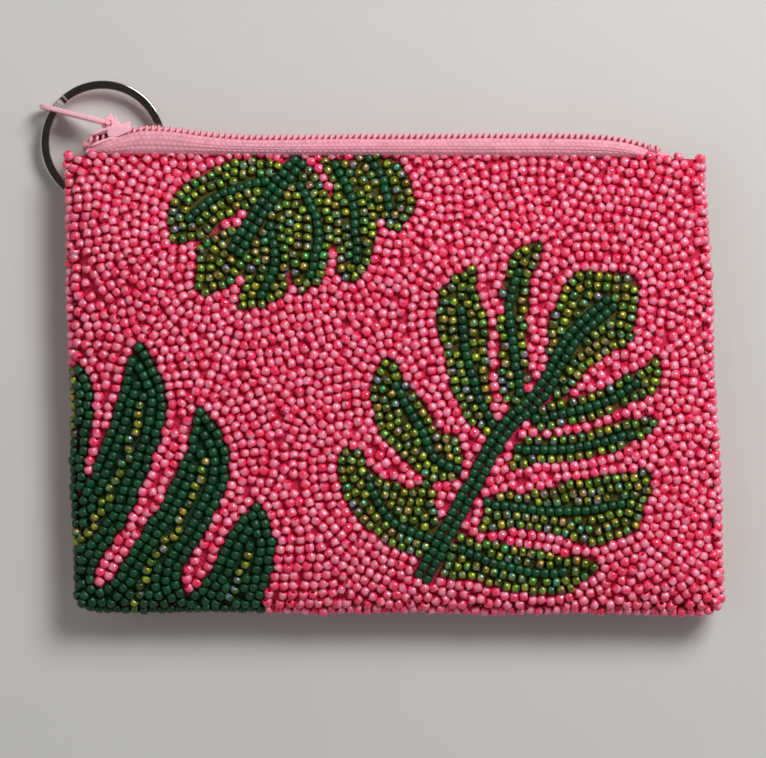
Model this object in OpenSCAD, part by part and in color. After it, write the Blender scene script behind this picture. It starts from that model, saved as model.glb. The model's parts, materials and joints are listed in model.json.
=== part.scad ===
/* [Pouch] */
// Width of the pouch at its middle
pouch_width = 138; // [110:1:170]
// Height of the pouch, from its bottom seam to the mouth
pouch_height = 97; // [80:1:120]
// Thickness of the closed pouch at its middle
pouch_thickness = 15.2; // [14.4:0.2:18]
// How far the top edge leans to the left of the bottom edge
pouch_lean = 2.6; // [0:0.2:4]
// Radius of the pouch's four corners
corner_radius = 4; // [2.5:0.5:8]

/* [Layers] */
// Thickness of the bead layer: one glass seed bead lying on its side
bead_layer = 1.9; // [1.6:0.1:2.2]
// Thickness of the canvas that the beads are sewn to
canvas_layer = 0.5; // [0.3:0.05:0.6]
// Thickness of the cotton lining
lining_layer = 0.25; // [0.15:0.05:0.3]

/* [Zipper] */
// Thickness of the woven zipper tape
tape_thickness = 0.4; // [0.3:0.05:0.4]
// Width of each nylon coil, across the zipper
coil_width = 2.1; // [1.8:0.1:2.2]
// Height of the nylon coils
coil_height = 1.4; // [1.2:0.1:1.5]
// Length of the slider
slider_length = 9; // [8:0.5:10]
// Width of the slider
slider_width = 7.2; // [6.6:0.1:7.4]
// Length of the pull tab, from its pivot to its tip
tab_length = 16.5; // [15:0.1:18]
// Direction of the pull tab when the pouch is closed, from +X
tab_angle = 165; // [160:1:172]
// How far the pull tab droops towards the surface under the pouch
tab_droop = 18; // [16:1:20]

/* [Key ring] */
// Outer diameter of the split ring
ring_diameter = 27; // [26:0.5:28]
// Width of the ring's flat wire, along a radius
ring_wire = 1.9; // [1.6:0.1:2.0]
// Thickness of the ring's two turns together
ring_thickness = 1.6; // [1.2:0.1:1.6]

/* [Hidden] */

$fn = 32;
middle = pouch_thickness / 2;     // height of the plane between the two halves
half_gap = 0.15;                  // each half stops this far from that plane
top_edge = pouch_height / 2 + 0.5;
bottom_edge = top_edge - pouch_height;
rim_depth = 3.2;                  // half the pouch's thickness at its edges
rim = middle - rim_depth;         // height of the back's edge above the surface it lies on

// The four corners. The top leans to the left and is a little narrower, and the bottom
// edge falls slightly to the right, as on a pouch sewn by hand.
skew_fall = 0.6;
narrowing = 0.6;
corners = [
  [-pouch_width / 2 - pouch_lean / 2 + narrowing, top_edge],
  [pouch_width / 2 - pouch_lean / 2 - narrowing, top_edge - skew_fall],
  [pouch_width / 2 + pouch_lean / 2, bottom_edge - skew_fall],
  [-pouch_width / 2 + pouch_lean / 2, bottom_edge]
];

// Zipper, seen along X: y is up from the mouth and h is the distance from the middle plane.
chain_y = top_edge + 4.7;         // centre line of the coils
chain_left = -61.5;
chain_right = 57.5;
tape_left = -67;
tape_right = 59;
sewn_left = -62;                  // the part sewn inside is shorter than the part outside
sewn_right = 57;
sewn_edge = top_edge - 8;
mouth_y = top_edge + 0.5;
fold_half_width = 4.3;            // the tape bulges this far round the slider
tape_gap = 0.08;                  // from the middle plane to the tape, inside the mouth
plate = 0.6;                      // thickness of the slider's two plates
channel = 1.7;                    // height of the slot between them
slider_x = -60.9;
slider_top = chain_y + channel / 2 + plate;

// Pull tab
tab_thickness = 1;
tab_width = 4.8;
tab_tip_width = 6.4;
tab_slot_width = 3.7;
tab_slot_end = 3.9;
tab_hole = 3.8;
hole_reach = tab_length - 3.4;    // from the pivot to the middle of the hole
pivot_height = 0.8;               // above the slider's top plate
pivot_back = 0.3;                 // from the slider's middle towards its tail
pivot = [slider_x - pivot_back, slider_top + pivot_height, middle];
hole = pivot + [
  hole_reach * cos(tab_droop) * cos(tab_angle),
  hole_reach * cos(tab_droop) * sin(tab_angle),
  -hole_reach * sin(tab_droop)
];

// Key ring: it leans on the surface under the pouch and rises to the hole in the tab.
ring_mean = (ring_diameter - ring_wire) / 2;
ring_to_hole = 146;               // direction of the hole from the ring's centre
ring_high = 120;                  // direction in which the ring rises
ring_low_z = ring_thickness / 2 + 0.15;
ring_rise = (hole[2] - ring_low_z) / (1 + cos(ring_to_hole - ring_high));
ring_tilt = asin(ring_rise / ring_mean);
ring_centre = [
  hole[0] - ring_mean * cos(ring_to_hole),
  hole[1] - ring_mean * sin(ring_to_hole),
  ring_low_z + ring_rise
];

// Leaves. A lobe is [base, middle, tip, their three radii]; a vein is a line of points.
right_lobes = [
  [[12, -29], [-1, -27], [-8, -18], [5, 6, 4]],
  [[15, -15], [2, -8], [-1, 1.5], [4, 5, 3]],
  [[21, -6], [14.5, 8], [15, 20], [4, 5, 4]],
  [[28, -2], [26, 14], [28.5, 26], [3, 3.5, 3]],
  [[36, 3], [43, 13], [46, 17], [5, 8, 6]],
  [[32, -6], [43, -5], [53.5, 1], [4, 4, 3.5]],
  [[28, -15], [42, -13], [52.5, -9.5], [3, 4, 3]],
  [[23, -25], [38, -27], [48, -25], [5, 6.5, 6]],
  [[13, -36], [28, -40], [39, -40], [4.5, 4.5, 3.5]]
];
right_veins = [
  [[6.5, -41], [23.5, -10], [31, -2.5], [38, 9.5], [46, 17]],
  [[9, -33.5], [0, -29.5], [-5, -22]],
  [[15.5, -19], [9, -16], [6, -10], [0.5, -0.5]],
  [[22, -10], [18.5, -3.5], [15.5, 7], [14.5, 15.5]],
  [[27, -3.5], [26.5, 3], [25, 12], [26.5, 23.5]],
  [[30.5, -7.5], [38, -6], [51.5, 0]],
  [[26.5, -14], [35.5, -14], [50.5, -11]],
  [[20, -25.5], [31.5, -27], [48.5, -25.5]],
  [[14.5, -35.5], [23, -38.5], [36, -40.5]]
];
top_lobes = [
  [[-26, 42], [-38, 40], [-43, 35], [5, 6, 5]],
  [[-31, 34], [-36, 28], [-38, 23], [5, 5.5, 4]],
  [[-25, 38], [-26.5, 28], [-28.5, 19.5], [4, 4.5, 3.5]],
  [[-19, 42], [-17, 32], [-18, 23], [4, 4.5, 3.5]],
  [[-12, 46], [-8, 36], [-8, 25], [4, 4.5, 3.5]],
  [[-4, 46], [-1, 40], [1.5, 35], [4, 4.5, 3]]
];
top_veins = [
  [[-20.5, 47.5], [-26, 40.5], [-29, 36], [-33.5, 28.5]],
  [[-24, 44], [-32.5, 42], [-38.5, 39.5], [-43.5, 35.5]],
  [[-24, 40], [-26.5, 36], [-25.5, 24.5], [-28, 19]],
  [[-20, 42], [-16.5, 34], [-17.5, 23.5]],
  [[-12.5, 46.5], [-8, 35], [-8, 26.5]],
  [[-5, 48], [-2.5, 44], [-1, 38]]
];
low_lobes = [
  [[-68, -10], [-67.5, -3], [-68.5, 3], [3, 3.5, 3]],
  [[-66, -32], [-56, -14], [-54, 3], [4.5, 6.5, 4]],
  [[-54, -44], [-44, -26], [-41, -9], [5.5, 6.5, 3.5]],
  [[-35, -45], [-31.5, -37], [-29, -30], [4.5, 5.5, 3.5]]
];
low_stripes = [
  [[-54, -5], [-57, -16], [-63, -27], [-68.5, -37]],
  [[-41, -18.5], [-46, -30.5], [-51, -38.5], [-55, -46.5]],
  [[-31.5, -37], [-34, -44], [-36, -47.5]]
];

// --- the pouch's two halves -------------------------------------------------

// The outline, moved in from the sides and bottom by `side` and from the top by `top`.
module outline(side, top) {
  hull()
    for (c = corners) {
      across = c[0] < 0 ? side + corner_radius : -side - corner_radius;
      up = c[1] < 0 ? side + corner_radius : -top - corner_radius;
      translate([c[0] + across, c[1] + up]) circle(corner_radius, $fn = 32);
    }
}

module level(side, top, z) {
  translate([0, 0, z]) linear_extrude(0.001) outline(side, top);
}

// The back half of a pillow, `depth` inside the outer surface. A deeper one is open
// through the mouth, so that each layer ends at the mouth's edge.
module half_pillow(depth) {
  beyond_mouth = depth > 0 ? -3 : 0;
  beyond_middle = depth > 0 ? 1 : -half_gap;
  hull() {
    level(depth, beyond_mouth, middle + beyond_middle - 0.001);
    level(depth, 0, rim + 1.02 * depth);
    level(7 + 0.4 * depth, 14, 1.9 + depth);
    level(20, 24, depth);
  }
}

module back_layer(outer, thickness) {
  difference() {
    intersection() {
      half_pillow(outer);
      translate([-100, -100, -1]) cube([200, 100 + top_edge, middle - half_gap + 1]);
    }
    half_pillow(outer + thickness);
  }
}

module to_front() {
  translate([0, 0, 2 * middle]) mirror([0, 0, 1]) children();
}

module bead_shell() {
  back_layer(0, bead_layer);
}

// --- leaves -----------------------------------------------------------------

module lobes(list) {
  for (lobe = list)
    hull()
      for (i = [0:2]) translate(lobe[i]) circle(lobe[3][i], $fn = 16);
}

module veins(list, width) {
  for (line = list)
    for (i = [0:len(line) - 2])
      hull() {
        translate(line[i]) circle(width / 2, $fn = 8);
        translate(line[i + 1]) circle(width / 2, $fn = 8);
      }
}

module in_bead_layer() {
  intersection() {
    bead_shell();
    translate([0, 0, -1]) linear_extrude(middle + 2) children();
  }
}

vein_width = 2.4;
stripe_width = 2.4;

// The back's leaves are the front's, turned half round.
module back_turned() {
  rotate(180) children();
}

// --- back half --------------------------------------------------------------

module back_field_beads() color("#d63a63")
  difference() {
    bead_shell();
    translate([0, 0, -1]) linear_extrude(middle + 2) back_turned() {
      lobes(right_lobes);
      veins(right_veins, vein_width);
      lobes(low_lobes);
    }
  }

module back_lime_beads() color("#94a331")
  in_bead_layer()
    back_turned() {
      difference() {
        lobes(right_lobes);
        veins(right_veins, vein_width);
      }
      intersection() {
        lobes(low_lobes);
        veins(low_stripes, stripe_width);
      }
    }

module back_green_beads() color("#0b5a35")
  in_bead_layer()
    back_turned() {
      veins(right_veins, vein_width);
      difference() {
        lobes(low_lobes);
        veins(low_stripes, stripe_width);
      }
    }

module canvas_shell() {
  back_layer(bead_layer, canvas_layer);
}

module lining_shell() {
  back_layer(bead_layer + canvas_layer, lining_layer);
}

module back_canvas() color("#e3a3b0") canvas_shell();

module back_lining() color("#e8a7b8") lining_shell();

// --- front half -------------------------------------------------------------

module front_field_beads() color("#d63a63")
  to_front()
    difference() {
      bead_shell();
      translate([0, 0, -1]) linear_extrude(middle + 2) {
        lobes(right_lobes);
        veins(right_veins, vein_width);
        lobes(top_lobes);
        veins(top_veins, vein_width);
        lobes(low_lobes);
      }
    }

module leaf_right_blades() color("#94a331")
  to_front() in_bead_layer()
    difference() {
      lobes(right_lobes);
      veins(right_veins, vein_width);
    }

module leaf_right_veins() color("#0b5a35")
  to_front() in_bead_layer() veins(right_veins, vein_width);

module leaf_top_blades() color("#94a331")
  to_front() in_bead_layer()
    difference() {
      lobes(top_lobes);
      veins(top_veins, vein_width);
    }

module leaf_top_veins() color("#0b5a35")
  to_front() in_bead_layer() veins(top_veins, vein_width);

module leaf_low_lobes() color("#0b5a35")
  to_front() in_bead_layer()
    difference() {
      lobes(low_lobes);
      veins(low_stripes, stripe_width);
    }

module leaf_low_stripes() color("#94a331")
  to_front() in_bead_layer()
    intersection() {
      lobes(low_lobes);
      veins(low_stripes, stripe_width);
    }

module front_canvas() color("#e3a3b0") to_front() canvas_shell();

module front_lining() color("#e8a7b8") to_front() lining_shell();

// --- zipper -----------------------------------------------------------------

// A profile drawn as [y, h], extruded along X between two places on the front's side.
module along_x(from, to) {
  translate([from, 0, middle])
    rotate([90, 0, 90]) linear_extrude(to - from) children();
}

// One tape: from the coil out round the slider, back in at the mouth, and down the lining.
module tape() {
  t = tape_thickness;
  along_x(tape_left, tape_right)
    polygon([
      [chain_y + t / 2, coil_width + 0.05],
      [chain_y + t / 2, fold_half_width - 0.25],
      [chain_y + t / 2 - 0.25, fold_half_width],
      [top_edge + 2.4, fold_half_width],
      [mouth_y, tape_gap + t],
      [mouth_y, tape_gap],
      [mouth_y + 0.3, tape_gap],
      [top_edge + 2.65, fold_half_width - t],
      [chain_y - t / 2, fold_half_width - t],
      [chain_y - t / 2, coil_width + 0.05]
    ]);
  // the part sewn inside, trimmed to the lining's inner face
  intersection() {
    along_x(sewn_left, sewn_right)
      translate([sewn_edge, tape_gap]) square([mouth_y - sewn_edge, t]);
    to_front() half_pillow(bead_layer + canvas_layer + lining_layer + 0.02);
  }
}

// One coil: its closed run, and the short parted end beyond the slider.
module coil() {
  along_x(chain_left, chain_right)
    translate([chain_y - coil_height / 2, 0.02]) square([coil_height, coil_width - 0.02]);
  along_x(tape_left, slider_x - slider_length / 2 - 0.3)
    translate([chain_y - coil_height / 2, 0.8]) square([coil_height, coil_width - 0.85]);
}

module to_back_side() {
  translate([0, 0, 2 * middle]) mirror([0, 0, 1]) children();
}

module zipper_tape_front() color("#e29aae") tape();

module zipper_coil_front() color("#dd8fa6") coil();

module zipper_tape_back() color("#e29aae") to_back_side() tape();

module zipper_coil_back() color("#dd8fa6") to_back_side() coil();

// Thread wound over both coils at each end of the zipper.
module zipper_end_tacks() color("#d9879f")
  for (x = [tape_left + 0.05, chain_right - 1.6])
    translate([x, chain_y + coil_height / 2 + 0.1, middle - coil_width])
      cube([1.4, 0.5, 2 * coil_width]);

// --- slider -----------------------------------------------------------------

// The plates' shape, seen from outside the mouth: wide at the shoulder, narrower at the tail.
module slider_outline() {
  l = slider_length;
  w = slider_width / 2;
  polygon([
    [-l / 2 + 1, -w], [1, -w], [l / 2, -w + 0.7], [l / 2, w - 0.7],
    [1, w], [-l / 2 + 1, w], [-l / 2, w - 1], [-l / 2, -w + 1]
  ]);
}

// A shape drawn as [x, z] about the slider's middle, `thick` deep from height y.
module slider_slab(y, thick) {
  translate([slider_x, y, middle])
    rotate([-90, 0, 0]) linear_extrude(thick) children();
}

module slider_body() color("#e58aa2")
  union() {
    slider_slab(slider_top - plate, plate) slider_outline();
    slider_slab(chain_y - channel / 2 - plate, plate) slider_outline();
    // flanges, with the slot for the tape between them
    for (side = [-1, 1])
      for (y = [chain_y - channel / 2, chain_y + channel / 2 - 0.4])
        translate([slider_x - 3, y, middle + side * (slider_width / 2 - 0.3) - 0.3])
          cube([4, 0.4, 0.6]);
    // post that parts the coils
    translate([slider_x - slider_length / 2 + 1.4, chain_y - channel / 2, middle])
      rotate([-90, 0, 0]) cylinder(channel, 0.8, 0.8);
  }

// Lug over the top plate: a pointed arch for the pull tab, and a lip at the nose.
module slider_bridge() color("#e58aa2")
  translate([slider_x, slider_top, middle - 0.9])
    linear_extrude(1.8)
      difference() {
        polygon([
          [-1.75, 0], [-1.6, 1.9], [-0.15, 3.4], [0.6, 2.5], [1.35, 1.3],
          [2.6, 0.8], [4.1, 1.25], [4.45, 1], [4.4, 0]
        ]);
        translate([-1.1, -0.1]) square([1.65, 1.75]);
      }

// A flat tab. Its slot leaves a thin bar at the near end.
module tab_shape() {
  tip = tab_tip_width / 2;
  difference() {
    union() {
      polygon([
        [0.2, -tab_width / 2], [tab_length - tip, -tip],
        [tab_length - tip, tip], [0.2, tab_width / 2]
      ]);
      translate([tab_length - tip, 0]) circle(tip, $fn = 48);
    }
    translate([0.5, -tab_slot_width / 2]) square([tab_slot_end - 0.5, tab_slot_width]);
  }
}

// The round pivot bar passes under the arch, and the ring passes through the hole.
module pull_tab() color("#e58aa2")
  translate(pivot) rotate(tab_angle)
    union() {
      translate([0, 0, -tab_width / 2]) cylinder(tab_width, 0.5, 0.5);
      rotate([0, tab_droop, 0])
        difference() {
          translate([0, tab_thickness / 2, 0]) rotate([90, 0, 0])
            linear_extrude(tab_thickness) tab_shape();
          translate([hole_reach, tab_thickness, 0]) rotate([90, 0, 0])
            cylinder(2 * tab_thickness, tab_hole / 2, tab_hole / 2);
        }
    }

// --- key ring ---------------------------------------------------------------

// Two turns of flat wire, pressed together, with the end of each turn on opposite sides.
module key_ring() color("#8c8f93")
  translate(ring_centre)
    rotate(ring_high) rotate([0, -ring_tilt, 0])
      difference() {
        rotate_extrude()
          translate([ring_mean, 0])
            polygon([
              [-ring_wire / 2, -ring_thickness / 2], [ring_wire / 2, -ring_thickness / 2],
              [ring_wire / 2, -0.05], [ring_wire / 2 - 0.15, 0], [ring_wire / 2, 0.05],
              [ring_wire / 2, ring_thickness / 2], [-ring_wire / 2, ring_thickness / 2],
              [-ring_wire / 2, 0.05], [0.15 - ring_wire / 2, 0], [-ring_wire / 2, -0.05]
            ]);
        for (turn = [0, 1])
          rotate([180 * turn, 0, 20])
            translate([ring_mean - ring_wire, -0.2, 0]) cube([2 * ring_wire, 0.4, ring_thickness]);
      }

back_field_beads();
back_lime_beads();
back_green_beads();
back_canvas();
back_lining();
zipper_tape_back();
zipper_coil_back();
zipper_end_tacks();
front_field_beads();
leaf_right_blades();
leaf_right_veins();
leaf_top_blades();
leaf_top_veins();
leaf_low_lobes();
leaf_low_stripes();
front_canvas();
front_lining();
zipper_tape_front();
zipper_coil_front();
slider_body();
slider_bridge();
pull_tab();
key_ring();
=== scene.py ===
"""Looks of the beaded coin purse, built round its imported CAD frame.

Lengths are in millimetres until a mesh is made. The purse lies on its back: x runs
along the zipper, y from the bottom seam to the mouth, and z up from the surface.
Heights written h are measured from the plane between the purse's two halves.
"""

import json
import math

import bmesh
import bpy
import numpy as np
from mathutils import Matrix, Vector, kdtree


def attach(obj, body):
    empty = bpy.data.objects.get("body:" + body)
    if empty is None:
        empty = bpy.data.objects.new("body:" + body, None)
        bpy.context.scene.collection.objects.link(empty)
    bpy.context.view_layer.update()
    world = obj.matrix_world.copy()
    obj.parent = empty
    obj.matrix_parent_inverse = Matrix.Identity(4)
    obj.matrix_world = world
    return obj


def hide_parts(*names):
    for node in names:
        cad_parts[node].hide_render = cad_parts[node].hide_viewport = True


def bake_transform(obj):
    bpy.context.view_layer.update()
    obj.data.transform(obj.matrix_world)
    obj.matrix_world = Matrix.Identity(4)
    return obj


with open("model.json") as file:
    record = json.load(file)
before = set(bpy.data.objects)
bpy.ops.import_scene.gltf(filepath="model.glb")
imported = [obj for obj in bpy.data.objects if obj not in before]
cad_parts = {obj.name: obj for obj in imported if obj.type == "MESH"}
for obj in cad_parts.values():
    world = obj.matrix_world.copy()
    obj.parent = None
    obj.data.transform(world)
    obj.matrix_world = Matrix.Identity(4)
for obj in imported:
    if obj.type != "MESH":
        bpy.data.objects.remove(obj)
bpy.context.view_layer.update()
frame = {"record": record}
rng = np.random.default_rng(7)

MM = 0.001

# --- sizes --------------------------------------------------------------------

MIDDLE = 7.6  # height of the plane between the two halves
RIM_DEPTH = 3.2  # half the thickness at the edges
TOP_EDGE = 49.0
# Corners of the bead panels: top left, top right, bottom right, bottom left. The beads stand
# a little outside the CAD part's outline, so these aren't quite its corners.
CORNERS = np.array([(-70.3, 49.6), (66.7, 48.9), (70.9, -49.2), (-68.2, -48.6)])
CORNER_RADIUS = 4.0
SIDE_RUN = 20.0  # the panel rises from the sides over this distance
MOUTH_RUN = 24.0

BEAD_DIAMETER = 2.15
STRING_PITCH = 1.93  # along a string of beads
VEIN_PITCH = 1.86  # along a string of green beads, which touch
ROW_PITCH = 2.2  # between neighbouring strings of a leaf
FIELD_PITCH = 2.08  # between the field's strings
CLOSEST = 1.74  # no two beads' middles are nearer than this
EDGE_INSET = 0.5  # the outermost string's middle, from the outline
FIELD_INSET = 1.8  # where the panel's own beads begin

CHAIN_Y = TOP_EDGE + 4.7
ZIPPER_LEFT = -65.8
ZIPPER_RIGHT = 59.0
TOOTH_PITCH = 1.32

# --- the leaves' outlines and veins: points read, in millimetres --------------

RIGHT_LOBES = [
    [(8, -21), (3.5, -22), (-4.5, -19), (-6.5, -15), (-10.5, -14), (-12, -19),
     (-9, -27), (-3, -33), (6, -37), (10, -34)],
    [(14, -12), (10, -10), (7, -5.5), (4.5, -2), (2, 1), (-1, 5.5), (-4.5, 1),
     (-4, -8.5), (0, -14), (7, -20), (14, -20)],
    [(21, -9), (20.5, 0), (20, 8), (20.5, 13), (18.5, 17), (18, 22), (17, 25),
     (12, 22), (9.5, 18), (9.5, 10.5), (11, 5), (12.5, -1.5), (14.5, -6), (18, -10)],
    [(28, -4), (28.5, 4), (28.5, 15.5), (29.5, 22.5), (31.5, 27), (31.5, 30), (27, 29),
     (24.5, 26), (23, 20.5), (23, 16), (22.5, 8), (22.5, 0), (24, -5)],
    [(33, -1), (33, 12), (34.5, 17), (36.5, 21), (40.5, 24), (50.5, 23), (52, 21),
     (52, 16), (51, 10), (48.5, 7.5), (40.5, 2), (36, -3)],
    [(33, -4), (40.5, -3), (47.5, 0.5), (53.5, 3.5), (56.5, 6), (57, 1), (56, -2),
     (53, -3.5), (46, -6), (40.5, -8), (31.5, -9.5), (29, -8)],
    [(28, -12), (38, -11), (45, -9), (50.5, -7.5), (55, -7), (56, -9), (53, -11.5),
     (48.5, -14), (39, -16), (32, -17), (25, -18)],
    [(22, -23.5), (30.5, -23), (37, -21), (46, -19.5), (54, -18.5), (55, -21.5),
     (53.5, -26), (52.5, -29.5), (50.5, -32), (43.5, -34.5), (38, -33.5), (28, -31),
     (18, -31)],
    [(14, -33), (22, -34), (32, -36), (40, -37), (44, -39.5), (38, -44), (31, -45),
     (23, -44), (16, -42), (10, -40.5)],
]
RIGHT_MIDRIB = [(6.5, -41), (14, -27), (23.5, -10), (31, -2.5), (38, 9.5), (46, 17)]
RIGHT_VEINS = [
    [(9, -33.5), (0, -29.5), (-5, -22)],
    [(15.5, -19), (9, -16), (6, -10), (0.5, -0.5)],
    [(22, -10), (18.5, -3.5), (15.5, 7), (14.5, 15.5)],
    [(27, -3.5), (26.5, 3), (25, 12), (24.7, 17), (26.5, 23.5)],
    [(30.5, -7.5), (38, -6), (46, -3.5), (51.5, 0)],
    [(26.5, -14), (35.5, -14), (43.5, -12.7), (50.5, -11)],
    [(20, -25.5), (31.5, -27), (40.5, -27), (48.5, -25.5)],
    [(14.5, -35.5), (23, -38.5), (30.5, -40.3), (36, -40.3)],
]
TOP_LOBES = [
    [(-22, 45.5), (-25, 47), (-31.5, 48.5), (-38.5, 46), (-44, 43), (-47.5, 39),
     (-48, 34), (-47, 30), (-41, 31), (-36, 35), (-30, 38), (-25, 41)],
    [(-29, 38), (-33, 34.5), (-40, 31), (-42, 27.5), (-42, 20), (-40, 19),
     (-34.5, 21), (-31, 26), (-29, 32), (-27, 36)],
    [(-23.5, 41), (-29, 34), (-31, 26), (-33, 18), (-31.5, 15.5), (-26, 17),
     (-23, 20), (-22, 28), (-21.5, 36)],
    [(-22, 43), (-21.5, 36), (-22, 28), (-21.5, 20), (-20.5, 19), (-15.5, 22),
     (-13.5, 28), (-13, 36), (-15, 43), (-18, 46)],
    [(-15, 48), (-13, 40), (-12.5, 32), (-12, 25), (-10, 21.5), (-6, 24), (-4, 30),
     (-3.5, 36), (-5, 42), (-8, 47)],
    [(-8, 48.5), (-4.5, 42), (-3.5, 36), (0, 32.5), (4.5, 37), (4, 42), (1.5, 47),
     (-2, 48.5)],
]
TOP_MIDRIB = [(-20.5, 47.5), (-26, 40.5), (-29, 36), (-33.5, 28.5)]
TOP_VEINS = [
    [(-24, 44), (-32.5, 42), (-38.5, 39.5), (-43.5, 35.5)],
    [(-24, 40), (-26.5, 36), (-25.5, 29), (-25.5, 24.5), (-28, 19)],
    [(-20, 42), (-17, 37), (-16, 30.5), (-17.5, 23.5)],
    [(-12.5, 46.5), (-9, 40), (-8, 31.5), (-8, 26.5)],
    [(-5, 48), (-2.5, 44), (-1, 38)],
]
LOW_LOBES = [
    [(-73, 9), (-70, 7), (-66.7, 4), (-64.6, -0.5), (-64.2, -5), (-65, -12), (-66, -18),
     (-66.8, -24), (-68, -30), (-73, -32), (-74, -10)],
    [(-54, 8.6), (-50.7, 4.1), (-48.8, -0.6), (-48.4, -5.3), (-49.2, -10.3), (-50.7, -15.4),
     (-53.5, -21.6), (-55.8, -27.5), (-58.9, -32.6), (-62, -37), (-63.8, -41.2), (-63.2, -43.4),
     (-61.8, -44.5), (-60, -52), (-73, -52), (-73, -26), (-67.4, -24.5), (-66.2, -22.3),
     (-64.4, -17.8), (-62, -11.9), (-59.7, -5.3), (-58.1, -0.2), (-56.8, 5)],
    [(-41.4, -4.9), (-39, -7.2), (-36.3, -11.1), (-34.9, -15.8), (-35.3, -20.9), (-37.1, -25.9),
     (-39.4, -30.6), (-42.2, -35.3), (-44.7, -39.2), (-45.2, -42.7), (-44.1, -45.8), (-43, -52),
     (-62.5, -52), (-62.2, -44), (-59.7, -41.3), (-57, -36.5), (-53.9, -31.8), (-51.1, -27.5),
     (-48.4, -22.8), (-45.7, -17.3), (-43.7, -11.5), (-42.4, -7.5)],
    [(-28.9, -25.7), (-26.6, -29.1), (-25.2, -33.7), (-25.4, -38), (-26.6, -43.1), (-28.5, -47.4),
     (-30, -52), (-44.5, -52), (-43.9, -46.2), (-41.4, -43.1), (-39, -39.6), (-37.1, -35.7),
     (-35.1, -31.8), (-32, -27.9)],
]
LOW_STRIPES = [
    [(-54.2, -5.1), (-54.8, -8.8), (-56, -12.7), (-57, -16.2), (-60.1, -22), (-62.1, -25.5),
     (-63.6, -29.1), (-65.6, -32.2), (-67.2, -34.3), (-68.4, -37), (-68.9, -40)],
    [(-40.4, -17.3), (-42.5, -22.8), (-44.5, -27.1), (-46.4, -31), (-48.4, -33.7), (-50.7, -36.9),
     (-52.7, -40.8), (-54.2, -44.3), (-55.8, -48)],
    [(-31.2, -37.1), (-32.6, -40.4), (-33.6, -43.1), (-35.1, -46.2), (-36.1, -49)],
]
EDGE_STRIPE = (-12.0, 3.4)  # the low leaf's first stripe runs up the side between these heights


# --- small geometry helpers ---------------------------------------------------


def unit(vectors):
    return vectors / np.linalg.norm(vectors, axis=-1, keepdims=True).clip(1e-9)


def smoothstep(low, high, x):
    t = np.clip((x - low) / (high - low), 0, 1)
    return t * t * (3 - 2 * t)


def directions(line):
    """Unit directions along a line, one for each of its points."""
    return unit(np.gradient(line, axis=0))


def signed_area(polygon):
    """Positive where the polygon runs anticlockwise."""
    x, y = polygon[:, 0], polygon[:, 1]
    return 0.5 * np.sum(x * np.roll(y, -1) - np.roll(x, -1) * y)


def smooth_line(points, step, closed=False):
    """A Catmull-Rom curve through the points, as points `step` apart."""
    p = np.array(points, float)
    n = len(p)
    out = []
    for i in range(n if closed else n - 1):
        if closed:
            a, b, c, d = p[i - 1], p[i], p[(i + 1) % n], p[(i + 2) % n]
        else:
            a, b, c, d = p[max(i - 1, 0)], p[i], p[i + 1], p[min(i + 2, n - 1)]
        for t in np.linspace(0, 1, 24, endpoint=False):
            out.append(
                0.5 * (2 * b + (c - a) * t + (2 * a - 5 * b + 4 * c - d) * t * t
                       + (3 * b - a - 3 * c + d) * t ** 3)
            )
    out.append(p[0] if closed else p[-1])
    return evenly(np.array(out), step)


def evenly(line, step):
    """The same line with its points `step` apart."""
    lengths = np.linalg.norm(np.diff(line, axis=0), axis=1)
    along = np.concatenate([[0], np.cumsum(lengths)])
    count = max(int(round(along[-1] / step)), 1)
    at = np.linspace(0, along[-1], count + 1)
    return np.stack([np.interp(at, along, line[:, k]) for k in range(line.shape[1])], 1)


def distance_to_polygons(points, polygons):
    """Signed distance from each point to the nearest polygon: negative inside one."""
    best = np.full(len(points), 1e9)
    inside = np.zeros(len(points), bool)
    for polygon in polygons:
        a = polygon
        b = np.roll(polygon, -1, axis=0)
        crossings = np.zeros(len(points), bool)
        for start in range(0, len(points), 20000):
            q = points[start:start + 20000, None, :]
            ab = (b - a)[None]
            t = np.clip(((q - a[None]) * ab).sum(2) / (ab ** 2).sum(2).clip(1e-9), 0, 1)
            gap = np.linalg.norm(a[None] + t[..., None] * ab - q, axis=2)
            best[start:start + 20000] = np.minimum(best[start:start + 20000], gap.min(1))
            over = (a[None, :, 1] > q[..., 1]) != (b[None, :, 1] > q[..., 1])
            rise = np.where(over, b[None, :, 1] - a[None, :, 1], 1)
            x = a[None, :, 0] + (q[..., 1] - a[None, :, 1]) / rise * (b - a)[None, :, 0]
            crossings[start:start + 20000] = (over & (q[..., 0] < x)).sum(1) % 2 == 1
        inside |= crossings
    return np.where(inside, -best, best)


def edge_depths(points):
    """Distance of each point inside the top, right, bottom and left edges."""
    depths = []
    for i in range(4):
        a = CORNERS[i]
        b = CORNERS[(i + 1) % 4]
        along = (b - a) / np.linalg.norm(b - a)
        inward = np.array([along[1], -along[0]])
        depths.append((points - a) @ inward)
    return depths


def panel_height(points):
    """Height h of the bead layer's outer surface above the middle plane."""
    top, right, bottom, left = edge_depths(points)
    lack = sum(
        (1 - np.clip(depth / run, 0, 1)) ** (power * 6)
        for depth, run, power in (
            (top, MOUTH_RUN, 1.15),
            (right, SIDE_RUN, 2.0),
            (bottom, SIDE_RUN, 2.0),
            (left, SIDE_RUN, 2.0),
        )
    ) ** (1 / 6)
    return RIM_DEPTH + (MIDDLE - RIM_DEPTH) * (1 - np.minimum(lack, 1.08))


def bead_height(points):
    """Height h of the beads' middles: a bead radius under the surface, and down at the seams."""
    _, right, bottom, left = edge_depths(points)
    radius = BEAD_DIAMETER / 2
    seam = np.minimum(np.minimum(right, left), bottom)
    turn = np.clip((seam - EDGE_INSET) / 2.6, 0, 1)
    high = panel_height(points) - radius
    return radius + (high - radius) * np.sqrt(1 - (1 - turn) ** 2)


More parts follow.
